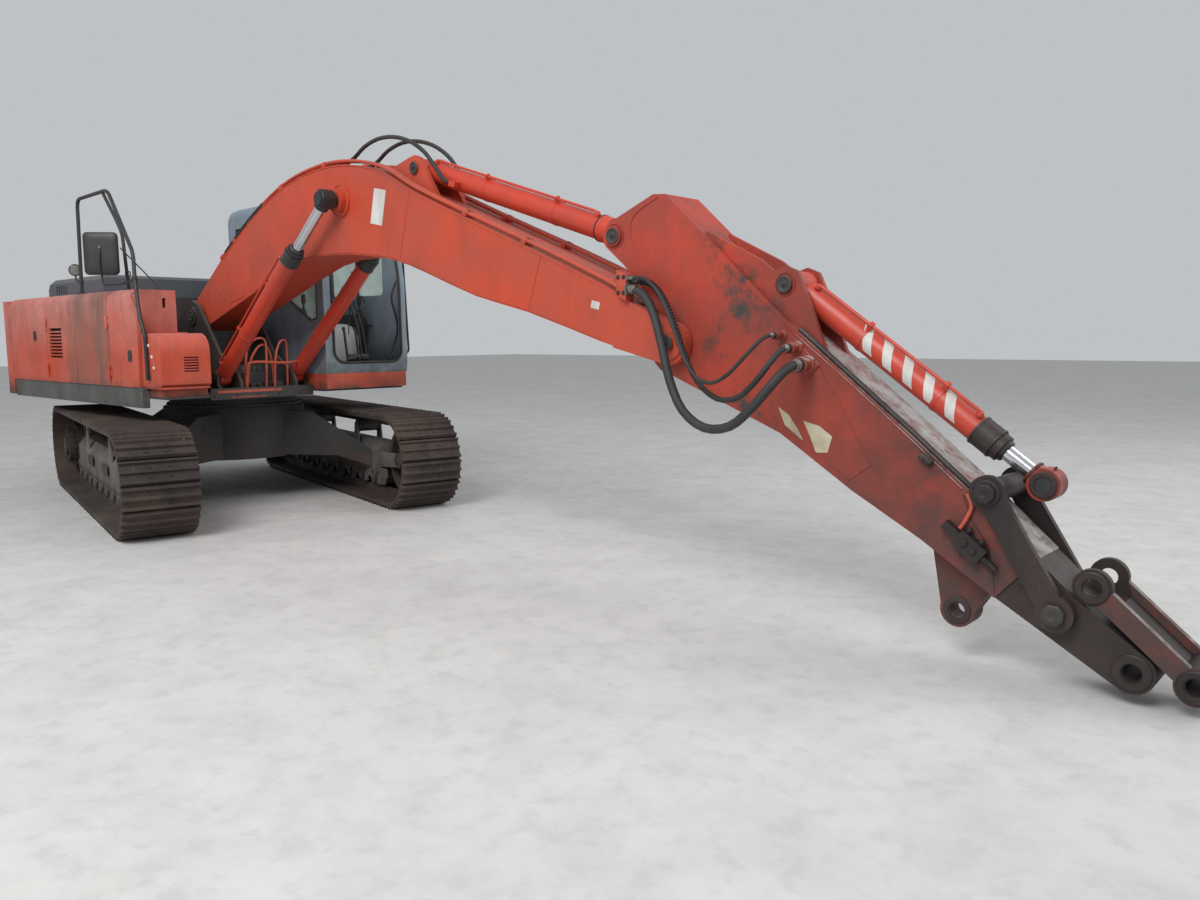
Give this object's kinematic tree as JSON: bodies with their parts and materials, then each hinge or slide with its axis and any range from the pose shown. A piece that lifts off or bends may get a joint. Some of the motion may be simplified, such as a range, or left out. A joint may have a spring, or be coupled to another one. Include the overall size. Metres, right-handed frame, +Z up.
{
  "type": "crawler excavator",
  "caption": "Crawler excavator with a stretched boom and arm, bare bucket link, open cab and weathered orange-red house on triple-grouser tracks.",
  "frame": {"origin": "on the ground under the slewing axis", "axes": "+X forward along the boom, +Y to the machine's left, +Z up"},
  "size_m": [11.961, 3.9038, 3.258],
  "materials": {
    "orange_paint": "sun-faded orange-red paint on plate",
    "grey_paint": "blue-grey paint on the cab and skirts",
    "black_steel": "grimy black painted steel",
    "rusty_steel": "rust-brown worn steel of tracks and linkage",
    "chrome_rod": "bright piston rod",
    "window_glass": "greenish cab glass",
    "seat_cloth": "dark seat cloth under a white cover",
    "black_rubber": "hose and mat rubber",
    "cast_weight": "painted cast counterweight"
  },
  "bodies": {
    "undercarriage": {"car_body": "black_steel", "track_frames": "black_steel", "tracks": "rusty_steel", "track_rollers": "black_steel", "sprockets": "rusty_steel", "idlers": "rusty_steel", "slew_ring": "black_steel"},
    "house": {"deck": "black_steel", "side_skirts": "grey_paint", "cab_base": "orange_paint", "counterweight": "cast_weight", "side_panels": "orange_paint", "engine": "black_steel", "tool_box": "orange_paint", "cab_shell": "grey_paint", "cab_windows": "window_glass", "operator_seat": "seat_cloth", "handrails": "black_steel", "side_mirror": "black_steel"},
    "hood": {"engine_hood": "black_steel", "exhaust_pipe": "black_steel"},
    "rear_right_door": {"pump_door": "orange_paint"},
    "front_right_leaf": {"front_right_door": "orange_paint"},
    "rear_left_door": {"left_door": "orange_paint"},
    "cab_door_leaf": {"cab_door": "grey_paint", "door_window": "window_glass"},
    "boom": {"boom_box": "orange_paint", "boom_pipes": "orange_paint", "elbow_hose_1": "black_rubber", "elbow_hose_2": "black_rubber", "elbow_hose_3": "black_rubber", "arch_hose_right": "black_rubber", "arch_hose_left": "black_rubber"},
    "boom_cylinders": {"boom_cylinder_barrels": "orange_paint"},
    "boom_rods": {"boom_cylinder_rods": "chrome_rod"},
    "arm_cylinder": {"arm_cylinder_barrel": "orange_paint"},
    "arm_rod": {"arm_cylinder_rod": "chrome_rod"},
    "arm": {"arm_box": "orange_paint", "arm_nose": "rusty_steel", "bucket_cylinder_lugs": "orange_paint", "arm_pipes": "orange_paint", "bucket_link": "rusty_steel"},
    "rocker_pair": {"rockers": "rusty_steel"},
    "bucket_cylinder": {"bucket_cylinder_barrel": "orange_paint"},
    "bucket_rod": {"bucket_cylinder_rod": "chrome_rod"}
  },
  "joints": [
    {"name": "slew", "type": "hinge", "parent": "undercarriage", "child": "house", "pos_m": [0, 0, 1], "axis": [0, 0, 1], "continuous": true},
    {"name": "boom_lift", "type": "hinge", "parent": "house", "child": "boom", "pos_m": [0.1, -0.15, 1.89], "axis": [0, -1, 0], "range_deg": [-36.5, 51]},
    {"name": "arm_crowd", "type": "hinge", "parent": "boom", "child": "arm", "pos_m": [6.138, -0.15, 1.617], "axis": [0, 1, 0], "range_deg": [0, 118]},
    {"name": "boom_cylinder_tilt", "type": "hinge", "parent": "house", "child": "boom_cylinders", "pos_m": [0.83, -0.15, 1.29], "axis": [0, -1, 0], "range_deg": [-39, 54]},
    {"name": "boom_rod_slide", "type": "slide", "parent": "boom_cylinders", "child": "boom_rods", "axis": [0.7876, 0, 0.6162], "range_m": [-0.5, 0.8]},
    {"name": "arm_cylinder_tilt", "type": "hinge", "parent": "boom", "child": "arm_cylinder", "pos_m": [3.598, -0.15, 2.953], "axis": [0, 1, 0], "range_deg": [0, 2.2]},
    {"name": "arm_rod_slide", "type": "slide", "parent": "arm_cylinder", "child": "arm_rod", "axis": [0.9511, 0, -0.309], "range_m": [0, 1.45]},
    {"name": "rocker_swing", "type": "hinge", "parent": "arm", "child": "rocker_pair", "pos_m": [8.364, -0.15, 0.377], "axis": [0, 1, 0], "range_deg": [-0.8, 4]},
    {"name": "bucket_cylinder_tilt", "type": "hinge", "parent": "arm", "child": "bucket_cylinder", "pos_m": [6.866, -0.15, 1.938], "axis": [0, -1, 0], "range_deg": [-0.8, 25]},
    {"name": "bucket_rod_slide", "type": "slide", "parent": "bucket_cylinder", "child": "bucket_rod", "axis": [0.8103, 0, -0.586], "range_m": [-0.1, 0.95]},
    {"name": "cab_door_hinge", "type": "hinge", "parent": "house", "child": "cab_door_leaf", "pos_m": [-0.19, 1.334, 1.7], "axis": [0, 0, 1], "range_deg": [0, 165]},
    {"name": "hood_hinge", "type": "hinge", "parent": "house", "child": "hood", "pos_m": [-2.46, 0, 2.136], "axis": [0, -1, 0], "range_deg": [0, 60]},
    {"name": "rear_right_door_hinge", "type": "hinge", "parent": "house", "child": "rear_right_door", "pos_m": [-1.3, -1.369, 1.67], "axis": [0, 0, 1], "range_deg": [0, 100]},
    {"name": "front_right_door_hinge", "type": "hinge", "parent": "house", "child": "front_right_leaf", "pos_m": [0.3, -1.369, 1.67], "axis": [0, 0, -1], "range_deg": [0, 100]},
    {"name": "rear_left_door_hinge", "type": "hinge", "parent": "house", "child": "rear_left_door", "pos_m": [-2.42, 1.369, 1.67], "axis": [0, 0, 1], "range_deg": [0, 100]}
  ],
  "couplings": [
    {"joint": "boom_cylinder_tilt", "follows": "boom_lift", "ratio": 1.05},
    {"joint": "boom_rod_slide", "follows": "boom_lift", "m_per_rad": 0.7334},
    {"joint": "arm_cylinder_tilt", "follows": "arm_crowd", "ratio": 0.0166},
    {"joint": "arm_rod_slide", "follows": "arm_crowd", "m_per_rad": 0.6873}
  ]
}
